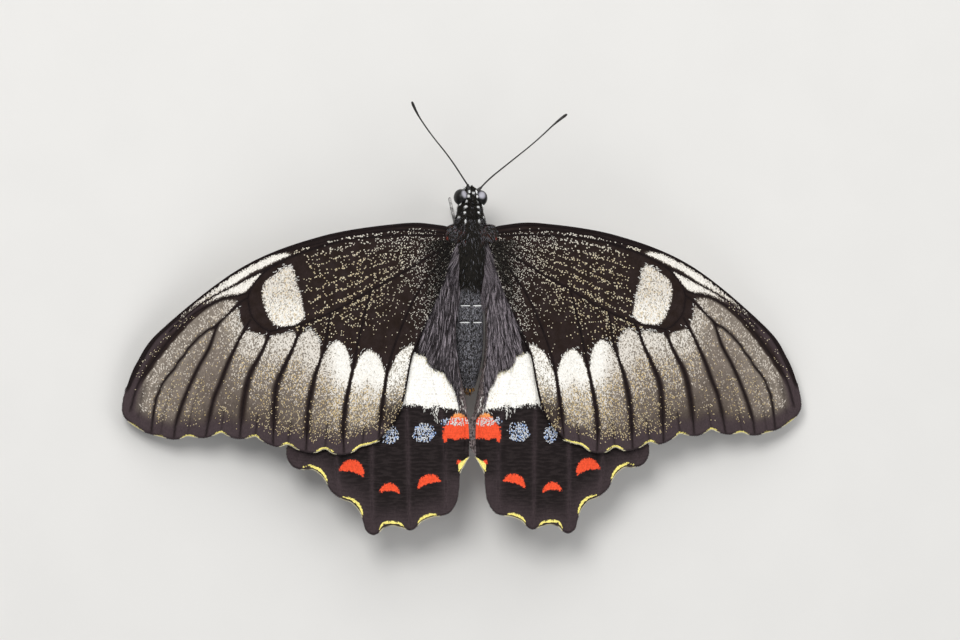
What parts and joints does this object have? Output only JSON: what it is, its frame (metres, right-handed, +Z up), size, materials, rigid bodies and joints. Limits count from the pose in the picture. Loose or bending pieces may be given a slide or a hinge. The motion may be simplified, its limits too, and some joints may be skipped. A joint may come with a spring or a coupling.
{
  "type": "swallowtail butterfly",
  "caption": "Life-size female orchard swallowtail butterfly standing with its scalloped wings spread, a still display model.",
  "frame": {"origin": "on the floor under the middle of the model's bounding box, in the plane of the body's axis", "axes": "+Y the way the head points, +Z up, +X the butterfly's right"},
  "size_m": [0.1206, 0.0751, 0.0258],
  "materials": {
    "body": "charcoal fur and scales",
    "eye": "glossy dark brown compound eye",
    "horn": "black chitin with a soft shine",
    "forewing": "brown wing scales dusted with cream and gold, pale between the veins",
    "hindwing": "velvety black wing scales with a white patch and red and blue marks"
  },
  "bodies": {
    "root": {"head": "body", "collar": "body", "thorax": "body", "abdomen": "body", "palp_left": "body", "palp_right": "body", "eye_left": "eye", "eye_right": "eye", "antenna_left": "horn", "antenna_right": "horn", "proboscis": "horn", "leg_fore_left": "horn", "leg_fore_right": "horn", "leg_mid_left": "horn", "leg_mid_right": "horn", "leg_hind_left": "horn", "leg_hind_right": "horn", "forewing_left": "forewing", "forewing_right": "forewing", "hindwing_left": "hindwing", "hindwing_right": "hindwing"}
  },
  "joints": []
}
